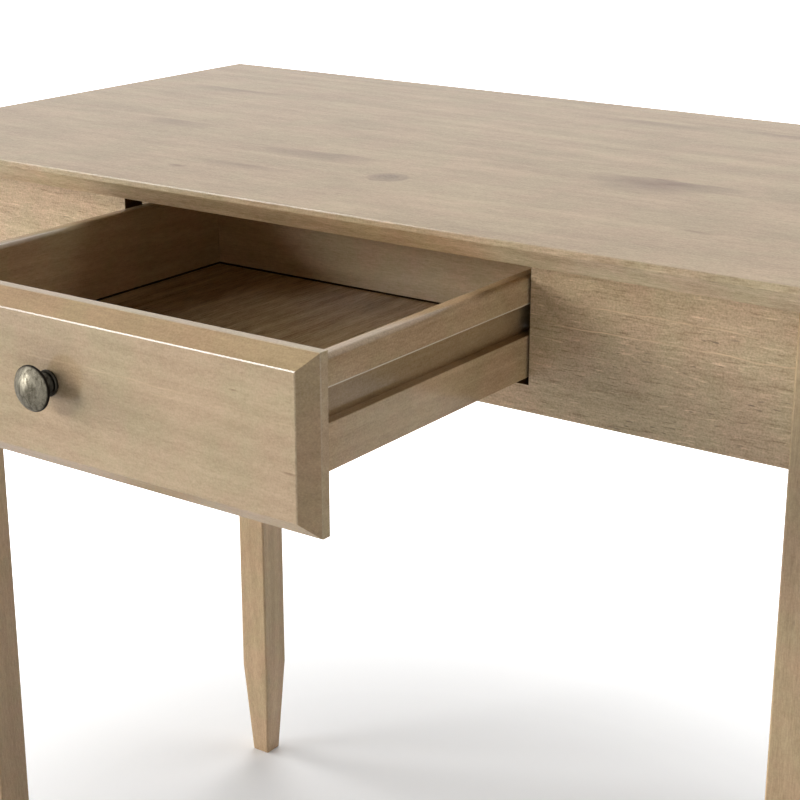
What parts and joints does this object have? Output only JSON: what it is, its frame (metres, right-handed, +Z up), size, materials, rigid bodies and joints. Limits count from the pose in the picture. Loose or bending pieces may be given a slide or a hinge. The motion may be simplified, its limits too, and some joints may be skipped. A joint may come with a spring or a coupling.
{
  "type": "writing desk",
  "caption": "Pine writing desk on square legs with tapered feet, a thin-edged overhanging top and a central drawer with a bevelled lipped front and a domed metal knob.",
  "frame": {"origin": "on the floor, midway between the left and right sides, and midway between the open drawer's knob and the back edge of the top", "axes": "+X to the desk's right as seen from its front, +Y towards its back, +Z up; the drawer stands open towards -Y"},
  "size_m": [0.9144, 0.7514, 0.762],
  "materials": {
    "pine": "clear matt lacquer over lightly distressed, greyed pine",
    "pine_inner": "plain sanded wood, unfinished",
    "pewter": "antique pewter, rubbed and mottled",
    "steel": "zinc plated"
  },
  "bodies": {
    "desk": {"tabletop": "pine", "leg_front_left": "pine", "leg_front_right": "pine", "leg_back_left": "pine", "leg_back_right": "pine", "apron_front": "pine", "apron_back": "pine", "apron_left": "pine", "apron_right": "pine", "corner_block_front_left": "pine_inner", "corner_block_front_right": "pine_inner", "corner_block_back_left": "pine_inner", "corner_block_back_right": "pine_inner", "hanger_bolts": "steel", "bolt_washers": "steel", "bolt_nuts": "steel", "block_screws": "steel", "apron_dowels": "pine_inner", "runner_left": "pine_inner", "runner_right": "pine_inner", "runner_dowels": "pine_inner", "top_cleat_left": "pine_inner", "top_cleat_right": "pine_inner", "top_cleat_back": "pine_inner", "stop_cleat": "pine_inner", "cleat_screws": "steel", "top_screws": "steel"},
    "drawer": {"drawer_front": "pine", "drawer_side_left": "pine", "drawer_side_right": "pine", "drawer_back": "pine", "drawer_bottom": "pine_inner", "drawer_dowels": "pine_inner", "drawer_screws": "steel", "drawer_stop": "pine_inner", "stop_screws": "steel", "knob": "pewter", "knob_screw": "steel"}
  },
  "joints": [
    {"name": "drawer_slide", "type": "slide", "parent": "desk", "child": "drawer", "axis": [0, -1, 0], "range_m": [-0.2489, 0.0261]}
  ]
}
